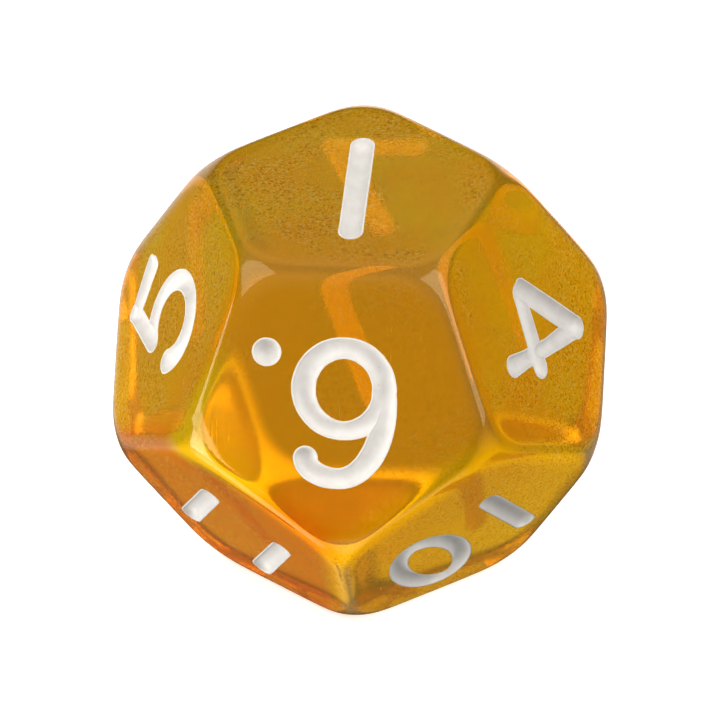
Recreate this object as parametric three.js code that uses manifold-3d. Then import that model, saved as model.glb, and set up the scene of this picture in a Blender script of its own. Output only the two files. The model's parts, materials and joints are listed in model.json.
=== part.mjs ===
// A twelve-sided die: a regular dodecahedron with rounded edges and corners, and numerals 1 to 12
// engraved in its faces and filled with paint.
//
// Units are millimetres. +Z is up, out of the face numbered 1. The die rests on the face numbered 12,
// and the origin is the middle of that face. The face numbered 6 leans towards -Y.

import * as THREE from "three";
import { ConvexGeometry } from "three/addons/geometries/ConvexGeometry.js";
import { mergeVertices } from "three/addons/utils/BufferGeometryUtils.js";
import Module from "manifold-3d";

const wasm = await Module();
wasm.setup();

// ---- Driving dimensions -------------------------------------------------------------------------

const ACROSS_FLATS = 18; // between two opposite faces
const EDGE_RADIUS = 0.8; // round along every edge
const CORNER_CUT = 0.8; // how far each corner of the core is cut back along its three edges
const GROOVE_DEPTH = 0.45; // depth of the engraving
const PAINT_RECESS = 0.12; // from the face down to the paint
const PAINT_GAP = 0.05; // clearance between the paint and the walls and floor of its groove

const STROKE = 1.05; // usual width of a numeral's line
const NARROW = 0.98; // the same on the faces with two digits
const FULL_POINT = 1.22; // diameter of the point that tells 6 from 9

// ---- Smoothness ---------------------------------------------------------------------------------

const ROUND_STEPS = 6; // facets across a rounded edge
const ARC_STEP = 15; // degrees of arc for each facet of a curved stroke
const CAP_STEPS = 6; // facets in the half circle that ends a stroke
const OVERCUT = 0.5; // how far a cutter stands out of the face it cuts

const INRADIUS = ACROSS_FLATS / 2;
const COPLANAR = 1e-6;
const MERGE_DISTANCE = 1e-4;

// ---- Materials ----------------------------------------------------------------------------------

const amber = new THREE.MeshStandardMaterial({
  color: 0xb87a10,
  roughness: 0.12,
  metalness: 0,
  transparent: true,
  opacity: 0.75,
  flatShading: true,
});
const whitePaint = new THREE.MeshStandardMaterial({
  color: 0xe8e4e0,
  roughness: 0.55,
  metalness: 0,
  flatShading: true,
});

// ---- The twelve faces ---------------------------------------------------------------------------

// Two opposite faces add up to 13. Azimuths turn about +Z from +X, in degrees.
const RING_STEP = 72;
const upperRing = [6, 4, 2, 3, 5];
const lowerRing = [10, 8, 7, 9, 11];
const UPPER_START = -90;
const LOWER_START = -54;
const RING_HEIGHT = 1 / Math.sqrt(5); // cosine of the angle between two neighbouring faces

function ringNormal(azimuth, height) {
  const angle = THREE.MathUtils.degToRad(azimuth);
  const reach = Math.sqrt(1 - height * height);
  return new THREE.Vector3(reach * Math.cos(angle), reach * Math.sin(angle), height);
}

function makeNormals() {
  const normals = new Map();
  normals.set(1, new THREE.Vector3(0, 0, 1));
  normals.set(12, new THREE.Vector3(0, 0, -1));
  upperRing.forEach((face, i) => {
    normals.set(face, ringNormal(UPPER_START + i * RING_STEP, RING_HEIGHT));
  });
  lowerRing.forEach((face, i) => {
    normals.set(face, ringNormal(LOWER_START + i * RING_STEP, -RING_HEIGHT));
  });
  return normals;
}

const normals = makeNormals();

// ---- The body -----------------------------------------------------------------------------------

// Every set of three faces that meet at a corner.
function cornerTriples() {
  const list = [...normals.values()];
  const meets = (a, b) => Math.abs(a.dot(b) - RING_HEIGHT) < COPLANAR;
  const triples = [];
  list.forEach((a, i) => {
    list.slice(i + 1).forEach((b, j) => {
      list.slice(i + j + 2).forEach((c) => {
        if (meets(a, b) && meets(b, c) && meets(a, c)) {
          triples.push([a, b, c]);
        }
      });
    });
  });
  return triples;
}

// The core is a sharp dodecahedron, one edge radius smaller all round, with its corners cut off.
function corePoints(triples) {
  const reach = INRADIUS - EDGE_RADIUS;
  const corners = triples.map((triple) => {
    const sum = triple[0].clone().add(triple[1]).add(triple[2]);
    return sum.multiplyScalar(reach / sum.dot(triple[0]));
  });
  const points = [];
  triples.forEach((triple, i) => {
    triples.forEach((other, j) => {
      const shared = triple.filter((normal) => other.includes(normal)).length;
      if (shared === 2) {
        const along = corners[j].clone().sub(corners[i]).setLength(CORNER_CUT);
        points.push(corners[i].clone().add(along));
      }
    });
  });
  return points;
}

// Directions spread evenly between the three normals of a corner, the normals themselves included.
function cornerDirections([a, b, c]) {
  const directions = [];
  for (let i = 0; i <= ROUND_STEPS; i += 1) {
    for (let j = 0; j <= ROUND_STEPS - i; j += 1) {
      const direction = new THREE.Vector3();
      direction.addScaledVector(a, i);
      direction.addScaledVector(b, j);
      direction.addScaledVector(c, ROUND_STEPS - i - j);
      directions.push(direction.normalize());
    }
  }
  return directions;
}

// Rolling a ball of the edge radius over the core gives the rounded body. In each direction the
// ball touches the core points that lie furthest out.
function roundedDodecahedron() {
  const triples = cornerTriples();
  const core = corePoints(triples);
  const surface = [];
  for (const direction of triples.flatMap(cornerDirections)) {
    const furthest = Math.max(...core.map((point) => point.dot(direction)));
    for (const point of core) {
      if (point.dot(direction) > furthest - COPLANAR) {
        surface.push(point.clone().addScaledVector(direction, EDGE_RADIUS));
      }
    }
  }
  return new ConvexGeometry(surface);
}

// ---- Strokes: the lines that numerals are drawn with ---------------------------------------------

// A stroke is a curve in the plane of its face, x to the right and y up, with the middle of the
// face at the origin. Its width runs through the listed values, evenly spaced along the curve.

function straight([x0, y0, width0], [x1, y1, width1]) {
  const curve = new THREE.LineCurve(new THREE.Vector2(x0, y0), new THREE.Vector2(x1, y1));
  return { curve, widths: [width0, width1], steps: 1, closed: false };
}

function bow([cx, cy], [rx, ry], [from, to], widths) {
  const radians = THREE.MathUtils.degToRad;
  const clockwise = to < from;
  const curve = new THREE.EllipseCurve(cx, cy, rx, ry, radians(from), radians(to), clockwise);
  const steps = Math.ceil(Math.abs(to - from) / ARC_STEP);
  return { curve, widths, steps, closed: false };
}

function ring(centre, radii, widths) {
  return { ...bow(centre, radii, [0, 360], [...widths, widths[0]]), closed: true };
}

function polyline(points) {
  return points.slice(1).map((point, i) => straight(points[i], point));
}

function widthAt(widths, t) {
  const place = t * (widths.length - 1);
  const before = Math.min(Math.floor(place), widths.length - 2);
  return THREE.MathUtils.lerp(widths[before], widths[before + 1], place - before);
}

// The two sides of a stroke, and the half width at each step.
function strokeSides({ curve, widths, steps, closed }, inset) {
  const left = [];
  const right = [];
  for (let i = 0; i <= steps - (closed ? 1 : 0); i += 1) {
    const t = i / steps;
    const point = curve.getPoint(t);
    const tangent = curve.getTangent(t);
    const sideways = new THREE.Vector2(-tangent.y, tangent.x);
    const half = widthAt(widths, t) / 2 - inset;
    left.push(point.clone().addScaledVector(sideways, half));
    right.push(point.clone().addScaledVector(sideways, -half));
  }
  return { left, right };
}

// The half circle that carries the outline from one side of a stroke's end to the other.
function roundCap(from, to) {
  const centre = from.clone().add(to).multiplyScalar(0.5);
  const points = [];
  for (let i = 1; i < CAP_STEPS; i += 1) {
    points.push(from.clone().rotateAround(centre, (-Math.PI * i) / CAP_STEPS));
  }
  return points;
}

function strokeShape(stroke, inset) {
  const { left, right } = strokeSides(stroke, inset);
  if (stroke.closed) {
    const shape = new THREE.Shape(right);
    shape.holes.push(new THREE.Path(left));
    return shape;
  }
  const endCap = roundCap(left.at(-1), right.at(-1));
  const startCap = roundCap(right[0], left[0]);
  return new THREE.Shape([...left, ...endCap, ...right.reverse(), ...startCap]);
}

// ---- Numerals -----------------------------------------------------------------------------------

const SIX_MIDDLE = new THREE.Vector2(-0.12, 0.54);
const HALF_TURN = 180;

const tallOne = [straight([0.15, 3.14, STROKE], [0.15, -2.9, STROKE])];

const shortOne = (x) => [straight([x, 3.28, NARROW], [x, -1.28, NARROW])];

const zero = [ring([1.94, 0.7], [1.29, 2.48], [0.92])];

const two = [
  bow([0, 1.85], [1.6, 1.42], [165, -40], [STROKE, STROKE]),
  ...polyline([[1.23, 0.94, STROKE], [-1.55, -2.2, STROKE], [1.85, -2.2, STROKE]]),
];

const twoAfterOne = [
  bow([1.72, 2.08], [1.28, 1.2], [165, -40], [NARROW, NARROW]),
  ...polyline([[2.7, 1.31, NARROW], [0.5, -1.28, NARROW], [3.1, -1.28, NARROW]]),
];

const three = [
  bow([-0.1, 1.95], [1.45, 1.32], [150, -90], [STROKE, STROKE]),
  bow([-0.1, -0.85], [1.75, 1.48], [90, -150], [STROKE, STROKE]),
];

const four = [
  straight([-1.55, -0.02, 1], [1.04, 3.01, STROKE]),
  straight([-1.45, -0.33, 0.86], [1.75, -0.45, 1]),
  ...polyline([[1.03, 3.1, 0.95], [1.18, 0.5, 0.66], [1.16, -1.2, 0.72], [1.14, -2.36, 0.96]]),
];

const five = [
  bow([-0.15, -0.24], [1.77, 1.77], [-153, 139], [1.08, 1.1, 0.98, 0.93, 0.95, 1]),
  ...polyline([[-1.52, 1, 0.96], [-1.07, 3.4, 0.94], [1, 3.42, 1.14]]),
  straight([1.27, 3.72, 0.55], [1.2, 3.12, 0.55]),
  straight([-1.25, 3.7, 0.56], [-1, 3.7, 0.56]),
];

const six = [
  ring([-0.13, -0.48], [1.7, 1.76], [STROKE, 0.8, STROKE, 0.92]),
  bow([0.1, 0.2], [1.94, 3.13], [190, 90], [STROKE, STROKE, 0.88]),
  bow([0.1, 2.48], [1.37, 0.85], [90, 0], [0.88, 1.04]),
];

const seven = polyline([[-1.75, 3.25, STROKE], [1.75, 3.25, STROKE], [-0.45, -2.3, STROKE]]);

const eight = [
  ring([0, 2], [1.35, 1.3], [0.98]),
  ring([0, -0.85], [1.7, 1.55], [STROKE]),
];

const fullPoint = [straight([3.11, -2, FULL_POINT], [3.13, -2, FULL_POINT])];

// Each face lists the face that its numerals' feet point to, and its marks. A mark is one closed
// groove with its own fill of paint. A turned mark is drawn upside down about the middle of a 6.
const marks = [
  { name: "paint_1", face: 1, foot: 6, strokes: tallOne },
  { name: "paint_2", face: 2, foot: 7, strokes: two },
  { name: "paint_3", face: 3, foot: 7, strokes: three },
  { name: "paint_4", face: 4, foot: 6, strokes: four },
  { name: "paint_5", face: 5, foot: 6, strokes: five },
  { name: "paint_6", face: 6, foot: 1, strokes: six },
  { name: "paint_6_point", face: 6, foot: 1, strokes: fullPoint },
  { name: "paint_7", face: 7, foot: 12, strokes: seven },
  { name: "paint_8", face: 8, foot: 7, strokes: eight },
  { name: "paint_9", face: 9, foot: 7, strokes: six, turn: HALF_TURN },
  { name: "paint_9_point", face: 9, foot: 7, strokes: fullPoint },
  { name: "paint_10_one", face: 10, foot: 6, strokes: shortOne(-1.92) },
  { name: "paint_10_zero", face: 10, foot: 6, strokes: zero },
  { name: "paint_11_left", face: 11, foot: 6, strokes: shortOne(-1.95) },
  { name: "paint_11_right", face: 11, foot: 6, strokes: shortOne(1.8) },
  { name: "paint_12_one", face: 12, foot: 7, strokes: shortOne(-1.92) },
  { name: "paint_12_two", face: 12, foot: 7, strokes: twoAfterOne },
];

// ---- Solids -------------------------------------------------------------------------------------

function toManifold(geometry) {
  const bare = geometry.clone();
  bare.deleteAttribute("normal");
  bare.deleteAttribute("uv");
  const merged = mergeVertices(bare, MERGE_DISTANCE);
  return new wasm.Manifold(
    new wasm.Mesh({
      numProp: 3,
      vertProperties: new Float32Array(merged.attributes.position.array),
      triVerts: new Uint32Array(merged.index.array),
    }),
  );
}

function toGeometry(solid) {
  const { vertProperties, triVerts } = solid.getMesh();
  const geometry = new THREE.BufferGeometry();
  geometry.setAttribute("position", new THREE.BufferAttribute(vertProperties, 3));
  geometry.setIndex(new THREE.BufferAttribute(triVerts, 1));
  geometry.computeVertexNormals();
  return geometry;
}

// All strokes of a mark joined into one solid, from z = low to z = high across the face's plane.
function markSolid({ strokes, turn = 0 }, inset, low, high) {
  const solids = strokes.map((stroke) => {
    const shape = strokeShape(stroke, inset);
    const geometry = new THREE.ExtrudeGeometry(shape, { depth: high - low, bevelEnabled: false });
    geometry.translate(-SIX_MIDDLE.x, -SIX_MIDDLE.y, low);
    geometry.rotateZ(THREE.MathUtils.degToRad(turn));
    geometry.translate(SIX_MIDDLE.x, SIX_MIDDLE.y, 0);
    return toManifold(geometry);
  });
  return solids.reduce((joined, solid) => joined.add(solid));
}

// A frame on a face: z out of the die, y away from the face at the numeral's foot.
function facePlacement(face, foot) {
  const outward = normals.get(face);
  const towardsFoot = normals.get(foot).clone().projectOnPlane(outward).normalize();
  const up = towardsFoot.negate();
  const rightward = up.clone().cross(outward);
  const placement = new THREE.Matrix4().makeBasis(rightward, up, outward);
  return placement.setPosition(outward.clone().multiplyScalar(INRADIUS));
}

function engravedBody() {
  let body = toManifold(roundedDodecahedron());
  for (const mark of marks) {
    const cutter = toGeometry(markSolid(mark, 0, -GROOVE_DEPTH, OVERCUT));
    cutter.applyMatrix4(facePlacement(mark.face, mark.foot));
    body = body.subtract(toManifold(cutter));
  }
  const mesh = new THREE.Mesh(toGeometry(body), amber);
  mesh.name = "body";
  return mesh;
}

function paintFill(mark) {
  const floor = -GROOVE_DEPTH + PAINT_GAP;
  const fill = markSolid(mark, PAINT_GAP, floor, -PAINT_RECESS);
  const mesh = new THREE.Mesh(toGeometry(fill), whitePaint);
  mesh.name = mark.name;
  const faceFrame = new THREE.Group();
  facePlacement(mark.face, mark.foot).decompose(
    faceFrame.position,
    faceFrame.quaternion,
    faceFrame.scale,
  );
  faceFrame.add(mesh);
  return faceFrame;
}

// ---- The die ------------------------------------------------------------------------------------

const die = new THREE.Group();
die.position.z = INRADIUS;
die.add(engravedBody());
marks.forEach((mark) => die.add(paintFill(mark)));

export default die;
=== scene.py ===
"""The looks of a clear amber twelve-sided die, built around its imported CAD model.

The body is one closed mesh with softly tumbled edges and corners and round-bottomed grooves. Each
mark of paint is a thin skin that lines its groove. Lengths are in millimetres until a mesh is made.
"""

import json
import math
import random

import bmesh
import bpy
import numpy as np
from mathutils import Matrix, Vector


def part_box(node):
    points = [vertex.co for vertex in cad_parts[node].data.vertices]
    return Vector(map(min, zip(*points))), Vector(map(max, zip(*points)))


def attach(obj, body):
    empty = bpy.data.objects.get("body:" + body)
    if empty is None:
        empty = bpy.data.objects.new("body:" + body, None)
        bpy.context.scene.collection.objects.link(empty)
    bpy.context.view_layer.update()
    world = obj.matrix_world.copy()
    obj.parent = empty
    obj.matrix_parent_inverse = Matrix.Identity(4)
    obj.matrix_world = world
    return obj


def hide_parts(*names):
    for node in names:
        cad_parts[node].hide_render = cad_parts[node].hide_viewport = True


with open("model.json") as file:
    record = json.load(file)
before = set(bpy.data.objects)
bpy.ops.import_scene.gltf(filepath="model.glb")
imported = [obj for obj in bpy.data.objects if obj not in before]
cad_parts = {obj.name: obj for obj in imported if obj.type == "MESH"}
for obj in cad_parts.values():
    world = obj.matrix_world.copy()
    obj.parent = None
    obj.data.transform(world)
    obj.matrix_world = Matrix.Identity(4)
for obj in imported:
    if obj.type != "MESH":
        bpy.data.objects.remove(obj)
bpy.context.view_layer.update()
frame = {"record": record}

# ---- Sizes, in millimetres ----------------------------------------------------------------------

METRES = 0.001
LOW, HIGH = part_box("body")
INRADIUS = (HIGH.z - LOW.z) / 2 / METRES
CENTRE = np.array([0.0, 0.0, INRADIUS])

EDGE_SHARPNESS = 4.4  # per millimetre: the higher, the tighter the round along the edges
CORNER_SHARPNESS = 12.0  # the same for the caps that tumbling leaves on the corners
CORNER_REACH = 1.2067 * INRADIUS  # from the middle of the die to those caps
SOFT_EDGE = 1.8  # width of the band beside an edge where the face starts to bend
EDGE_RINGS = 14  # mesh rings across that band
RING_CROWDING = 1.5  # above 1, the rings crowd towards the edge
EDGE_STEPS = 36  # mesh steps along an edge
WELD = 0.0001  # points closer than this are one point
HALVINGS = 40  # steps of the search for the surface

STROKE = 1.05  # usual width of a numeral's line
NARROW = 0.98  # the same on the faces with two digits
FULL_POINT = 1.22  # diameter of the point that tells 6 from 9
DEPTH_SHARE = 0.41  # depth of a groove, as a share of its width
PAINT_BITE = 0.02  # how far the paint reaches into the plastic
PAINT_SKIN = 0.06  # thickness of the paint on the walls of the groove
PAINT_LIP = 0.004  # how far the paint's rim lies below the face
WOBBLE = 0.012  # unevenness of a stroke's width, as a share of it

ARC_STEP = 6  # degrees of arc for each ring of a curved groove
TUBE_SIDES = 28
CAP_RINGS = 7
STRAIGHT_STEP = 0.8  # length of each ring of a straight groove


# ---- Faces --------------------------------------------------------------------------------------


def face_normals():
    """The outward normal of each numbered face, from the record's mounts."""
    normals = {}
    for mount in frame["record"]["mounts"]:
        number = int(mount["name"].rsplit("_", 1)[1])
        axis = np.array(mount["axis"], float)
        normals[number] = axis / np.linalg.norm(axis)
    return normals


NORMALS = face_normals()
NORMAL_ROWS = np.array(list(NORMALS.values()))
NEIGHBOUR_COSINE = 1 / math.sqrt(5)


def unit(vector):
    return vector / np.linalg.norm(vector)


def neighbours(face):
    """The five faces round a face, in order round its normal."""
    normal = NORMALS[face]
    around = [f for f, n in NORMALS.items() if abs(n @ normal - NEIGHBOUR_COSINE) < 0.01]
    first = unit(np.cross(normal, NORMALS[around[0]]))
    second = np.cross(normal, first)
    return sorted(around, key=lambda f: math.atan2(NORMALS[f] @ second, NORMALS[f] @ first))


def face_placement(face, foot):
    """Columns right, up and outward of a face's frame, and its middle. Up points away from foot."""
    outward = NORMALS[face]
    towards_foot = NORMALS[foot] - (NORMALS[foot] @ outward) * outward
    up = -unit(towards_foot)
    return np.array([np.cross(up, outward), up, outward]), outward * INRADIUS


# ---- Meshes -------------------------------------------------------------------------------------


def make_object(name, points, faces):
    """A mesh object from points in millimetres about the middle of the die."""
    mesh = bpy.data.meshes.new(name)
    placed = (np.asarray(points) + CENTRE) * METRES
    mesh.from_pydata(placed.tolist(), [], faces)
    mesh.validate()
    obj = bpy.data.objects.new(name, mesh)
    bpy.context.scene.collection.objects.link(obj)
    return obj


def remove(obj):
    mesh = obj.data
    bpy.data.objects.remove(obj)
    bpy.data.meshes.remove(mesh)


def combine(target, other, operation):
    """Joins other to target, or cuts it from target, and takes other away."""
    modifier = target.modifiers.new("combine", "BOOLEAN")
    modifier.operation = operation
    modifier.solver = "MANIFOLD"
    modifier.material_mode = "TRANSFER"
    modifier.object = other
    depsgraph = bpy.context.evaluated_depsgraph_get()
    result = bpy.data.meshes.new_from_object(target.evaluated_get(depsgraph))
    old = target.data
    target.modifiers.remove(modifier)
    target.data = result
    bpy.data.meshes.remove(old)
    remove(other)
    return target


# ---- The body's surface -------------------------------------------------------------------------


def softness_terms(points):
    """How strongly each face plane, and the sphere that cuts the corners, pulls at each point."""
    planes = np.exp(EDGE_SHARPNESS * (points @ NORMAL_ROWS.T - INRADIUS))
    reach = np.linalg.norm(points, axis=1)
    caps = np.exp(CORNER_SHARPNESS * (reach - CORNER_REACH))
    return planes, caps, reach


def on_surface(directions):
    """The points of the tumbled surface in these directions. The pull is 1 on the surface."""
    inside = np.full(len(directions), 0.9 * INRADIUS)
    outside = np.full(len(directions), 1.3 * INRADIUS)
    for _ in range(HALVINGS):
        middle = (inside + outside) / 2
        planes, caps, _ = softness_terms(directions * middle[:, None])
        out = planes.sum(1) + caps > 1
        outside = np.where(out, middle, outside)
        inside = np.where(out, inside, middle)
    return directions * inside[:, None]


def surface_normals(points):
    planes, caps, reach = softness_terms(points)
    gradient = EDGE_SHARPNESS * planes @ NORMAL_ROWS
    gradient += (CORNER_SHARPNESS * caps / reach)[:, None] * points
    return gradient / np.linalg.norm(gradient, axis=1)[:, None]


def face_grid(face):
    """The rings of directions beside the edges of a face, outermost first, each ring a closed loop."""
    normal = NORMALS[face]
    around = neighbours(face)
    corners = [unit(normal + NORMALS[a] + NORMALS[b]) for a, b in zip(around, around[1:] + around[:1])]
    corners = [c / (c @ normal) for c in corners]
    apothem = INRADIUS * np.linalg.norm((corners[0] + corners[1]) / 2 - normal)
    rings = []
    for ring in range(EDGE_RINGS + 1):
        inset = SOFT_EDGE * (ring / EDGE_RINGS) ** RING_CROWDING
        scale = 1 - inset / apothem
        loop = []
        for start, end in zip(corners, corners[1:] + corners[:1]):
            for step in range(EDGE_STEPS):
                turn = math.pi * step / EDGE_STEPS
                along = 0.5 - 0.5 * math.cos(turn)
                loop.append(normal + scale * (start + along * (end - start) - normal))
        rings.append(loop)
    return rings


def tumbled_body():
    """The bare body: quads across the soft edges and one many-sided face on each flat."""
    directions, faces = [], []
    for face in NORMALS:
        rings = face_grid(face)
        count = len(rings[0])
        start = len(directions)
        for loop in rings:
            directions.extend(loop)
        for ring in range(EDGE_RINGS):
            outer = start + ring * count
            inner = outer + count
            for i in range(count):
                j = (i + 1) % count
                faces.append((outer + i, outer + j, inner + j, inner + i))
        last = start + EDGE_RINGS * count
        faces.append(tuple(range(last, last + count)))
    directions = np.array(directions)
    directions /= np.linalg.norm(directions, axis=1)[:, None]
    body = make_object("amber_body", on_surface(directions), faces)
    weld(body.data)
    return body


def weld(mesh):
    """Joins the points that neighbouring faces share."""
    editable = bmesh.new()
    editable.from_mesh(mesh)
    bmesh.ops.remove_doubles(editable, verts=editable.verts, dist=WELD * METRES)
    editable.to_mesh(mesh)
    editable.free()


# ---- Strokes ------------------------------------------------------------------------------------

# A stroke is a list of (x, y, width) along its middle line, in the frame of its face, and whether
# it closes on itself.


def lerp(values, t):
    place = t * (len(values) - 1)
    before = min(int(place), len(values) - 2)
    return values[before] + (values[before + 1] - values[before]) * (place - before)


def straight(start, end):
    steps = max(1, math.ceil(math.dist(start[:2], end[:2]) / STRAIGHT_STEP))
    points = [tuple(lerp((a, b), i / steps) for a, b in zip(start, end)) for i in range(steps + 1)]
    return points, False


def bow(centre, radii, turn, widths):
    """A stretch of an ellipse, from turn[0] to turn[1] degrees."""
    steps = math.ceil(abs(turn[1] - turn[0]) / ARC_STEP)
    points = []
    for i in range(steps + 1):
        angle = math.radians(lerp(turn, i / steps))
        x = centre[0] + radii[0] * math.cos(angle)
        y = centre[1] + radii[1] * math.sin(angle)
        points.append((x, y, lerp(widths, i / steps)))
    return points, False


def ring(centre, radii, widths):
    points, _ = bow(centre, radii, (0, 360), (*widths, widths[0]))
    return points[:-1], True


def polyline(*points):
    return [straight(a, b) for a, b in zip(points, points[1:])]


def short_one(x):
    return [straight((x, 3.28, NARROW), (x, -1.28, NARROW))]


TALL_ONE = [straight((0.15, 3.14, STROKE), (0.15, -2.9, STROKE))]
ZERO = [ring((1.94, 0.7), (1.29, 2.48), (0.92, 0.92))]
TWO = [
    bow((0, 1.85), (1.6, 1.42), (165, -40), (STROKE, STROKE)),
    *polyline((1.23, 0.94, STROKE), (-1.55, -2.2, STROKE), (1.85, -2.2, STROKE)),
]
TWO_AFTER_ONE = [
    bow((1.72, 2.08), (1.28, 1.2), (165, -40), (NARROW, NARROW)),
    *polyline((2.7, 1.31, NARROW), (0.5, -1.28, NARROW), (3.1, -1.28, NARROW)),
]
THREE = [
    bow((-0.1, 1.95), (1.45, 1.32), (150, -90), (STROKE, STROKE)),
    bow((-0.1, -0.85), (1.75, 1.48), (90, -150), (STROKE, STROKE)),
]
FOUR = [
    straight((-1.55, -0.02, 1.06), (1.04, 3.01, 1.1)),
    straight((-1.45, -0.33, 0.94), (1.75, -0.45, 1.04)),
    *polyline((1.03, 3.1, 0.98), (1.16, 0.5, 0.76), (1.15, -1.2, 0.8), (1.14, -2.36, 0.98)),
]
FIVE = [
    bow((-0.15, -0.24), (1.77, 1.77), (-153, 139), (1.08, 1.1, 0.98, 0.93, 0.95, 1)),
    *polyline((-1.52, 1, 0.96), (-1.07, 3.4, 0.94), (1, 3.42, 1.14)),
    straight((1.27, 3.72, 0.55), (1.2, 3.12, 0.55)),
    straight((-1.25, 3.7, 0.56), (-1, 3.7, 0.56)),
]
SIX = [
    ring((-0.13, -0.48), (1.7, 1.76), (STROKE, 0.8, STROKE, 0.92)),
    bow((0.1, 0.2), (1.94, 3.13), (190, 90), (STROKE, STROKE, 0.88)),
    bow((0.1, 2.48), (1.37, 0.85), (90, 0), (0.88, 1.04)),
]
SIX_MIDDLE = (-0.12, 0.54)
SEVEN = polyline((-1.75, 3.25, STROKE), (1.75, 3.25, STROKE), (-0.45, -2.3, STROKE))
EIGHT = [
    ring((0, 2), (1.35, 1.3), (0.98, 0.98)),
    ring((0, -0.85), (1.7, 1.55), (STROKE, STROKE)),
]
POINT = [straight((3.11, -2, FULL_POINT), (3.13, -2, FULL_POINT))]


def turned(strokes):
    """The same strokes upside down about the middle of a 6, which makes a 9."""
    x0, y0 = SIX_MIDDLE
    return [([(2 * x0 - x, 2 * y0 - y, w) for x, y, w in points], closed) for points, closed in strokes]


# CAD node: (face, the face at the numeral's foot, strokes)
MARKS = {
    "paint_1": (1, 6, TALL_ONE),
    "paint_2": (2, 7, TWO),
    "paint_3": (3, 7, THREE),
    "paint_4": (4, 6, FOUR),
    "paint_5": (5, 6, FIVE),
    "paint_6": (6, 1, SIX),
    "paint_6_point": (6, 1, POINT),
    "paint_7": (7, 12, SEVEN),
    "paint_8": (8, 7, EIGHT),
    "paint_9": (9, 7, turned(SIX)),
    "paint_9_point": (9, 7, POINT),
    "paint_10_one": (10, 6, short_one(-1.92)),
    "paint_10_zero": (10, 6, ZERO),
    "paint_11_left": (11, 6, short_one(-1.95)),
    "paint_11_right": (11, 6, short_one(1.8)),
    "paint_12_one": (12, 7, short_one(-1.92)),
    "paint_12_two": (12, 7, TWO_AFTER_ONE),
}


# ---- Grooves and paint --------------------------------------------------------------------------


def wobbled(strokes, name):
    """The strokes with a slightly uneven width, the same for the groove and its paint."""
    chance = random.Random(name)
    result = []
    for points, closed in strokes:
        uneven = [(x, y, w * (1 + chance.uniform(-WOBBLE, WOBBLE))) for x, y, w in points]
        result.append((uneven, closed))
    return result


def tube(name, stroke, placement, grow):
    """A round rod along a stroke. It lies so that it cuts the stroke's width out of the face."""
    points, closed = stroke
    axes, middle = placement
    path = np.array(points, float)
    flat = path[:, :2]
    half = path[:, 2] / 2
    depth = 2 * half * DEPTH_SHARE
    radius = (half**2 + depth**2) / (2 * depth)
    height = radius - depth
    radius = radius + grow
    if closed:
        tangent = np.roll(flat, -1, 0) - np.roll(flat, 1, 0)
    else:
        tangent = np.gradient(flat, axis=0)
    tangent /= np.linalg.norm(tangent, axis=1)[:, None]
    rings = [(flat[i], height[i], radius[i], tangent[i], 0.0) for i in range(len(flat))]
    if not closed:
        tilts = [math.pi / 2 * k / CAP_RINGS for k in range(1, CAP_RINGS)]
        before = [(flat[0], height[0], radius[0], tangent[0], -tilt) for tilt in reversed(tilts)]
        after = [(flat[-1], height[-1], radius[-1], tangent[-1], tilt) for tilt in tilts]
        rings = before + rings + after
    vertices = []
    for centre, lift, r, along, tilt in rings:
        sideways = np.array([-along[1], along[0]])
        for k in range(TUBE_SIDES):
            turn = 2 * math.pi * k / TUBE_SIDES
            across = r * math.cos(tilt) * math.cos(turn)
            up = r * math.cos(tilt) * math.sin(turn)
            spot = centre + sideways * across + along * r * math.sin(tilt)
            vertices.append((spot[0], spot[1], lift + up))
    faces = []
    count = len(rings)
    for i in range(count if closed else count - 1):
        a, b = i * TUBE_SIDES, (i + 1) % count * TUBE_SIDES
        for k in range(TUBE_SIDES):
            n = (k + 1) % TUBE_SIDES
            faces.append((a + k, a + n, b + n, b + k))
    if not closed:
        for end, (centre, lift, r, along, _) in ((0, rings[0]), (count - 1, rings[-1])):
            side = -1 if end == 0 else 1
            pole = centre + along * r * side
            vertices.append((pole[0], pole[1], lift))
            for k in range(TUBE_SIDES):
                n = (k + 1) % TUBE_SIDES
                a, b = end * TUBE_SIDES + k, end * TUBE_SIDES + n
                tip = len(vertices) - 1
                faces.append((a, b, tip) if end else (b, a, tip))
    return make_object(name, np.array(vertices) @ axes + middle, faces)


def rods(name, strokes, placement, grow, material):
    """All strokes of a mark as one solid."""
    joined = None
    for stroke in strokes:
        piece = tube(name, stroke, placement, grow)
        piece.data.materials.append(material)
        joined = combine(joined, piece, "UNION") if joined else piece
    return joined


def slab(placement):
    """A box that holds everything just below a face."""
    axes, middle = placement
    half, low, high = 7.0, -3.0, -PAINT_LIP
    corners = [(x, y, z) for z in (low, high) for y in (-half, half) for x in (-half, half)]
    faces = [(0, 2, 3, 1), (4, 5, 7, 6), (0, 1, 5, 4), (2, 6, 7, 3), (0, 4, 6, 2), (1, 3, 7, 5)]
    return make_object("slab", np.array(corners) @ axes + middle, faces)


def paint_skin(name, strokes, placement, inner, outer):
    """The skin of paint: a solid a little wider than the groove, hollowed out by a slimmer one.

    The side against the plastic is a brighter copy of the paint that glows: painted light for what
    comes through the thin paint. The open side is a greyer white.
    """
    skin = rods(f"{name}_skin", strokes, placement, PAINT_BITE, inner)
    block = slab(placement)
    block.data.materials.append(outer)
    combine(skin, block, "INTERSECT")
    combine(skin, rods("hollow", strokes, placement, -PAINT_SKIN, outer), "DIFFERENCE")
    return skin


# ---- Shading helpers ----------------------------------------------------------------------------


def smooth_by_angle(mesh, degrees):
    """Smooth faces, with a sharp edge wherever two faces meet at more than this angle."""
    mesh.polygons.foreach_set("use_smooth", [True] * len(mesh.polygons))
    mesh.set_sharp_from_angle(angle=math.radians(degrees))


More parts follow.
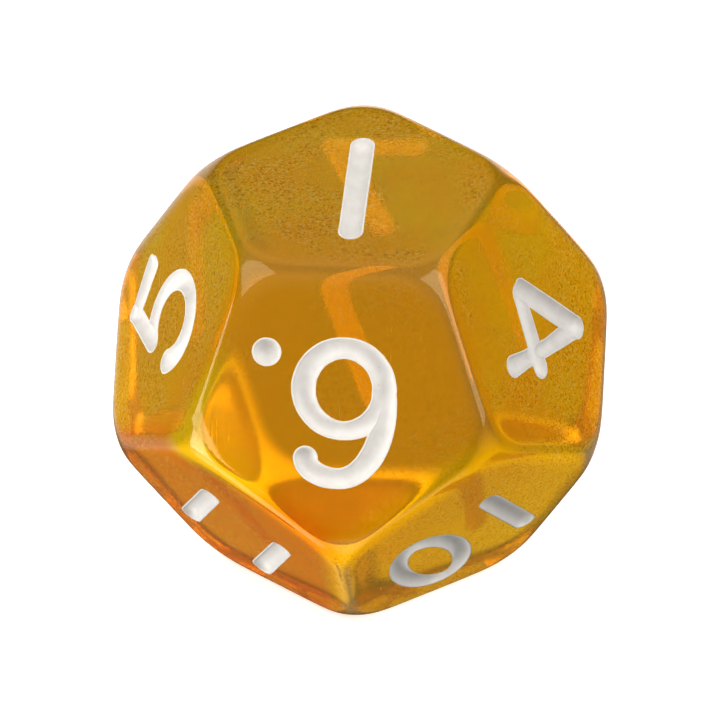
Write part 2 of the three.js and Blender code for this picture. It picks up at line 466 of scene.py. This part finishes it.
def body_normals(obj):
    """The exact normals of the tumbled surface on every corner that lies on it."""
    mesh = obj.data
    count = len(mesh.vertices)
    points = np.zeros(count * 3)
    mesh.vertices.foreach_get("co", points)
    points = points.reshape(-1, 3) / METRES - CENTRE
    exact = surface_normals(points)
    smooth_by_angle(mesh, 40)
    chosen = []
    for polygon in mesh.polygons:
        own = np.array(polygon.normal)
        for vertex in polygon.vertices:
            fits = polygon.material_index == 0 and own @ exact[vertex] > 0.9
            chosen.append(tuple(exact[vertex]) if fits else (0.0, 0.0, 0.0))
    mesh.normals_split_custom_set(chosen)


def new_material(name):
    material = bpy.data.materials.new(name)
    material.use_nodes = True
    return material, Nodes(material.node_tree)


class Nodes:
    """Short ways to add shader nodes. Sizes of patterns are in millimetres."""

    def __init__(self, tree):
        self.tree = tree
        self.shader = tree.nodes.get("Principled BSDF")
        self.coordinates = tree.nodes.new("ShaderNodeTexCoord")

    def add(self, kind, **inputs):
        node = self.tree.nodes.new(kind)
        for name, value in inputs.items():
            self.set(node.inputs[name.replace("_", " ")], value)
        return node

    def set(self, socket, value):
        if isinstance(value, bpy.types.NodeSocket):
            self.tree.links.new(value, socket)
        else:
            socket.default_value = value

    def place(self, stretch=(1, 1, 1), turn=(0, 0, 0)):
        """Object coordinates, turned and stretched."""
        source = self.coordinates.outputs["Object"]
        return self.add("ShaderNodeMapping", Vector=source, Scale=stretch, Rotation=turn).outputs[0]

    def noise(self, size, detail=2.0, place=None):
        vector = place or self.coordinates.outputs["Object"]
        scale = 1 / (size * METRES)
        return self.add("ShaderNodeTexNoise", Vector=vector, Scale=scale, Detail=detail).outputs["Fac"]

    def specks(self, spacing, size, share):
        """Round specks of 1 on 0, in this share of the cells of a random grid."""
        vector = self.coordinates.outputs["Object"]
        cells = self.add("ShaderNodeTexVoronoi", Vector=vector, Scale=1 / (spacing * METRES))
        spot = self.ramp(cells.outputs["Distance"], size / spacing, 0.6 * size / spacing)
        picked = self.add("ShaderNodeSeparateColor", Color=cells.outputs["Color"]).outputs[0]
        chosen = self.math("LESS_THAN", picked, share)
        return self.math("MULTIPLY", spot, chosen)

    def ramp(self, value, start, end, low=0.0, high=1.0):
        """Value mapped smoothly from start..end to low..high."""
        node = self.tree.nodes.new("ShaderNodeMapRange")
        node.interpolation_type = "SMOOTHSTEP"
        for socket, setting in zip(node.inputs, (value, start, end, low, high)):
            self.set(socket, setting)
        return node.outputs[0]

    def math(self, operation, first, second):
        node = self.tree.nodes.new("ShaderNodeMath")
        node.operation = operation
        self.set(node.inputs[0], first)
        self.set(node.inputs[1], second)
        return node.outputs[0]

    def along(self, direction):
        """How far each point lies in a direction from the middle of the die, in radii of the die."""
        middle = (0, 0, INRADIUS * METRES)
        source = self.coordinates.outputs["Object"]
        offset = self.vector("SUBTRACT", source, middle)
        reach = self.vector("DOT_PRODUCT", offset, tuple(unit(np.array(direction))))
        return self.math("DIVIDE", reach, INRADIUS * METRES)

    def vector(self, operation, first, second):
        node = self.tree.nodes.new("ShaderNodeVectorMath")
        node.operation = operation
        self.set(node.inputs[0], first)
        self.set(node.inputs[1], second)
        return node.outputs["Value" if operation == "DOT_PRODUCT" else "Vector"]

    def mix(self, share, first, second):
        node = self.tree.nodes.new("ShaderNodeMix")
        node.data_type = "RGBA"
        for name, setting in (("Factor_Float", share), ("A_Color", first), ("B_Color", second)):
            socket = next(i for i in node.inputs if i.identifier == name)
            self.set(socket, setting)
        return next(o for o in node.outputs if o.identifier == "Result_Color")

    def bump(self, height, depth, below=None):
        """A bump whose pattern of 0..1 is this deep."""
        node = self.add("ShaderNodeBump", Height=height, Distance=depth * METRES)
        if below:
            self.set(node.inputs["Normal"], below)
        return node.outputs["Normal"]


def hairlines(nodes, turn, size):
    """Scratches from handling: thin broken lines in one direction."""
    place = nodes.place(stretch=(1, 0.03, 0.03), turn=turn)
    lines = nodes.ramp(nodes.noise(size, 1.0, place), 0.72, 0.78)
    broken = nodes.ramp(nodes.noise(2.6), 0.5, 0.62)
    return nodes.math("MULTIPLY", lines, broken)


AMBER = (1.0, 0.55, 0.0, 1)
# Painted shade: the darker amber laid towards face 6
PAINTED_SHADE_AMBER = (1.0, 0.49, 0.0, 1)
# Painted light: the orange laid towards face 11
PAINTED_ORANGE_LIGHT = (1.0, 0.3, 0.0, 1)
# Olive: for random patches of the dye, and as painted light towards face 10
OLIVE_DYE_AND_PAINTED_LIGHT = (0.97, 0.69, 0.0, 1)
# Painted light: the golden patch by face 6's corner at faces 5 and 11
PAINTED_GOLD_LIGHT = (1.0, 0.82, 0.0, 1)
GOLD_GRAIN = (1.0, 0.85, 0.2, 1)
BROWN_GRAIN = (0.45, 0.2, 0.0, 1)
PALE_DUST = (1.0, 0.85, 0.5, 1)
CLEARNESS = 0.82  # transmission; the rest scatters like milky resin
AMBER_GLINT = (1.0, 0.82, 0.5, 1)
AMBER_DEPTHS = (0.95, 0.82, 0.3, 1)
AMBER_DENSITY = 200  # per metre

# Paint: a duller and a brighter white that mix in patches
# Inner side, against the plastic: a brighter white than the open side, painted light for what comes
# through the thin paint
PAINTED_LIGHT_INNER_PAINT = ((0.92, 0.9, 0.87, 1), (0.95, 0.94, 0.92, 1))
# Open side: a greyer white
GREYER_OPEN_SIDE_PAINT = ((0.6, 0.57, 0.53, 1), (0.65, 0.62, 0.58, 1))
PAINT_DIRT = (0.3, 0.22, 0.12, 1)
SHINE_THROUGH = (1.0, 0.8, 0.6, 1)
SHINE_STRENGTH = 0.1

PAPER_GLOW = 0.55


def amber_plastic(name, grain_depth):
    """Clear dyed plastic: unevenly mixed colour, glitter-like grain, hairline scratches and dust. By
    side it also carries painted light and shade: a darker amber towards face 6, more orange towards
    face 11, more olive towards face 10 and a golden patch by face 6's corner at faces 5 and 11.
    """
    material, nodes = new_material(name)
    shader = nodes.shader
    clouds = nodes.ramp(nodes.noise(6.0, 3.0), 0.38, 0.66)
    # Painted shade: a darker amber towards face 6, which also thins the grain there
    painted_shade_side = nodes.ramp(nodes.along(NORMALS[6]), 0.86, 0.99)
    # Painted light: more orange towards face 11
    painted_orange_side = nodes.ramp(nodes.along(NORMALS[11]), 0.88, 0.99)
    # Painted light: more olive towards face 10
    painted_olive_side = nodes.ramp(nodes.along(NORMALS[10]), 0.85, 0.99)
    # Painted light: a golden patch by face 6's corner at faces 5 and 11
    painted_gold_patch = nodes.ramp(nodes.along(NORMALS[6] + 0.5 * (NORMALS[5] + NORMALS[11])), 1.06, 1.15)
    colour = nodes.mix(clouds, AMBER, OLIVE_DYE_AND_PAINTED_LIGHT)
    colour = nodes.mix(painted_shade_side, colour, PAINTED_SHADE_AMBER)
    colour = nodes.mix(painted_orange_side, colour, PAINTED_ORANGE_LIGHT)
    colour = nodes.mix(painted_olive_side, colour, OLIVE_DYE_AND_PAINTED_LIGHT)
    colour = nodes.mix(painted_gold_patch, colour, PAINTED_GOLD_LIGHT)

    grainy = nodes.ramp(nodes.noise(4.0, 2.0), 0.38, 0.58)
    grainy = nodes.math("MULTIPLY", grainy, nodes.ramp(painted_shade_side, 0.0, 1.0, 1.0, 0.3))
    flanks = nodes.math("MAXIMUM", nodes.along((1, 0, 0)), nodes.along((-1, 0, 0)))
    grainy = nodes.math("MAXIMUM", grainy, nodes.ramp(flanks, 0.8, 1.0))
    fine = nodes.noise(0.11, 3.0)
    gold = nodes.math("MULTIPLY", nodes.ramp(fine, 0.56, 0.64), grainy)
    brown = nodes.math("MULTIPLY", nodes.ramp(fine, 0.45, 0.36), grainy)
    colour = nodes.mix(nodes.math("MULTIPLY", gold, 0.9), colour, GOLD_GRAIN)
    colour = nodes.mix(nodes.math("MULTIPLY", brown, 0.8), colour, BROWN_GRAIN)
    dust = nodes.specks(0.6, 0.03, 0.3)
    nodes.set(shader.inputs["Base Color"], nodes.mix(dust, colour, PALE_DUST))

    scratches = nodes.math(
        "MAXIMUM", hairlines(nodes, (0.3, 0.9, 0.4), 0.09), hairlines(nodes, (1.2, 0.2, 2.0), 0.07)
    )
    smear = nodes.ramp(nodes.noise(1.8, 4.0), 0.3, 0.8, 0.08, 0.13)
    rough = nodes.math("ADD", smear, nodes.math("MULTIPLY", scratches, 0.2))
    nodes.set(shader.inputs["Roughness"], rough)

    waves = nodes.bump(nodes.noise(2.2, 1.0), 0.004)
    grained = nodes.bump(nodes.math("MULTIPLY", fine, grainy), grain_depth, waves)
    nodes.set(shader.inputs["Normal"], nodes.bump(scratches, -0.002, grained))

    shader.inputs["Transmission Weight"].default_value = CLEARNESS
    shader.inputs["IOR"].default_value = 1.49
    shader.inputs["Specular Tint"].default_value = AMBER_GLINT
    absorption = nodes.add("ShaderNodeVolumeAbsorption", Color=AMBER_DEPTHS, Density=AMBER_DENSITY)
    nodes.set(nodes.tree.nodes["Material Output"].inputs["Volume"], absorption.outputs["Volume"])
    return material


def white_paint(name, dull, bright, shine):
    """Brushed-in paint: slightly uneven, satin, with a few dark specks of dirt.

    The shine stands for the light that comes through the thin paint.
    """
    material, nodes = new_material(name)
    shader = nodes.shader
    mottle = nodes.ramp(nodes.noise(0.5, 3.0), 0.3, 0.7)
    colour = nodes.mix(mottle, dull, bright)
    colour = nodes.mix(nodes.specks(0.5, 0.035, 0.16), colour, PAINT_DIRT)
    nodes.set(shader.inputs["Base Color"], colour)
    nodes.set(shader.inputs["Roughness"], nodes.ramp(mottle, 0.0, 1.0, 0.38, 0.55))
    drag = nodes.bump(nodes.noise(0.35, 2.0), 0.02)
    nodes.set(shader.inputs["Normal"], nodes.bump(nodes.noise(0.06, 2.0), 0.004, drag))
    shader.inputs["Emission Color"].default_value = SHINE_THROUGH
    shader.inputs["Emission Strength"].default_value = shine
    return material


def pale_floor():
    material, nodes = new_material("pale_floor")
    shader = nodes.shader
    paper = nodes.noise(1.5, 4.0)
    nodes.set(shader.inputs["Base Color"], nodes.mix(paper, (0.86, 0.86, 0.85, 1), (0.9, 0.9, 0.9, 1)))
    nodes.set(shader.inputs["Roughness"], nodes.ramp(paper, 0.2, 0.8, 0.6, 0.8))
    nodes.set(shader.inputs["Normal"], nodes.bump(paper, 0.01))
    shader.inputs["Emission Color"].default_value = (1, 1, 1, 1)
    shader.inputs["Emission Strength"].default_value = PAPER_GLOW
    return material


# ---- The pieces ---------------------------------------------------------------------------------


def build_die():
    body = tumbled_body()
    plastic = amber_plastic("amber_plastic", 0.004)
    wall = amber_plastic("amber_groove", 0.008)
    # The inner side is a brighter, glowing copy of the paint: painted light coming through it
    inner_paint_painted_light = white_paint("white_paint_inner_painted_light", *PAINTED_LIGHT_INNER_PAINT, SHINE_STRENGTH)
    open_side_paint = white_paint("white_paint", *GREYER_OPEN_SIDE_PAINT, 0.0)
    body.data.materials.append(plastic)
    for name, (face, foot, strokes) in MARKS.items():
        placement = face_placement(face, foot)
        uneven = wobbled(strokes, name)
        combine(body, rods("cutter", uneven, placement, 0.0, wall), "DIFFERENCE")
        skin = paint_skin(name, uneven, placement, inner_paint_painted_light, open_side_paint)
        smooth_by_angle(skin.data, 40)
        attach(skin, "root")
        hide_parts(name)
    body_normals(body)
    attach(body, "root")
    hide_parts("body")


# ---- The studio ---------------------------------------------------------------------------------

VIEW_AZIMUTH = math.radians(6.25)
VIEW_ELEVATION = math.radians(37.4)
VIEW_ROLL = math.radians(2.4)
VIEW_DISTANCE = 0.65  # metres
DIE_ACROSS_FRAME = 0.5903  # the distance across flats, as a share of the picture's width
SENSOR = 36.0  # millimetres
LIGHT_DISTANCE = 0.5  # metres
FLOOR_GAP = 0.02  # millimetres under the die


def view_axes(azimuth, elevation):
    """Right, up and backwards of a camera that looks at the die from that side."""
    back = Vector(
        (
            math.sin(azimuth) * math.cos(elevation),
            -math.cos(azimuth) * math.cos(elevation),
            math.sin(elevation),
        )
    )
    right = Vector((0, 0, 1)).cross(back).normalized()
    return right, back.cross(right), back


def make_camera():
    right, up, back = view_axes(VIEW_AZIMUTH, VIEW_ELEVATION)
    turn = Matrix.Rotation(-VIEW_ROLL, 3, back)
    rotation = Matrix((turn @ right, turn @ up, back)).transposed()
    data = bpy.data.cameras.new("camera")
    data.sensor_width = SENSOR
    data.lens = SENSOR * DIE_ACROSS_FRAME * VIEW_DISTANCE / (2 * INRADIUS * METRES)
    data.clip_start = 0.01
    camera = bpy.data.objects.new("camera", data)
    target = Vector((0, 0, INRADIUS * METRES))
    camera.matrix_world = Matrix.Translation(target + back * VIEW_DISTANCE) @ rotation.to_4x4()
    bpy.context.scene.collection.objects.link(camera)
    bpy.context.scene.camera = camera


def softbox(name, azimuth, elevation, size, brightness):
    """A rectangular light that faces the die. Its size is in metres."""
    data = bpy.data.lights.new(name, "AREA")
    data.shape = "RECTANGLE"
    data.size, data.size_y = size
    data.energy = brightness * math.pi * size[0] * size[1]
    _, _, back = view_axes(math.radians(azimuth), math.radians(elevation))
    light = bpy.data.objects.new(name, data)
    light.location = back * LIGHT_DISTANCE
    light.rotation_euler = back.to_track_quat("Z", "Y").to_euler()
    bpy.context.scene.collection.objects.link(light)


def make_floor():
    """A pale floor for the camera only. Other rays, and light, pass it to the room's lower half."""
    half = 1.5  # metres
    mesh = bpy.data.meshes.new("floor")
    corners = [(-half, -half, 0), (half, -half, 0), (half, half, 0), (-half, half, 0)]
    mesh.from_pydata(corners, [], [(0, 1, 2, 3)])
    mesh.materials.append(pale_floor())
    floor = bpy.data.objects.new("floor", mesh)
    floor.location.z = -FLOOR_GAP * METRES
    floor.visible_diffuse = False
    floor.visible_glossy = False
    floor.visible_transmission = False
    floor.visible_shadow = False
    bpy.context.scene.collection.objects.link(floor)


# Broad glows of the room, where the faces look out through the plastic: view azimuth, elevation,
# degrees of full glow, degrees to where it ends, brightness.
GLOWS = (
    (0, 80, 35, 75, 0.84),  # ceiling
    (60, 20, 10, 45, 0.4),  # right wall
    (8, -42, 10, 28, 1.4),  # floor before the die
    (-54, -41, 8, 24, 2.5),  # floor at the front left, under the left softbox
    (-152, -14, 5, 26, 1.15),  # left of the backdrop
    (172, -12, 6, 27, 1.6),  # middle of the backdrop
    (-122, -37, 8, 19, 0.48),  # floor behind on the left
    (139, -32, 10, 28, 0.4),  # floor behind on the right
    (178, -38, 6, 18, 0.2),  # floor straight behind, in the die's own shade
    (-154, -77, 8, 18, 0.22),  # floor under the die
)
ROOM_BRIGHTNESS = 0.07


def make_room():
    world = bpy.data.worlds.new("room")
    world.use_nodes = True
    nodes = Nodes(world.node_tree)
    direction = nodes.coordinates.outputs["Generated"]
    total = ROOM_BRIGHTNESS
    for azimuth, elevation, inner, outer, brightness in GLOWS:
        _, _, towards = view_axes(math.radians(azimuth), math.radians(elevation))
        facing = nodes.vector("DOT_PRODUCT", direction, tuple(towards))
        start, end = math.cos(math.radians(outer)), math.cos(math.radians(inner))
        total = nodes.math("ADD", nodes.ramp(facing, start, end, 0.0, brightness), total)
    total = nodes.math("MAXIMUM", total, 0.0)
    nodes.set(world.node_tree.nodes["Background"].inputs["Strength"], total)
    world.node_tree.nodes["Background"].inputs["Color"].default_value = (1, 1, 1, 1)
    bpy.context.scene.world = world


def make_studio():
    make_floor()
    make_room()
    softbox("left_softbox", -56, 5, (0.8, 0.15), 4.8)
    softbox("low_left_lamp", -60, -16, (0.24, 0.2), 7.0)
    softbox("high_left_softbox", -78, 50, (0.4, 0.34), 3.0)
    softbox("right_softbox", 68, 38, (0.3, 0.5), 3.6)


bpy.context.scene.view_settings.view_transform = "Standard"
make_camera()
make_studio()
build_die()
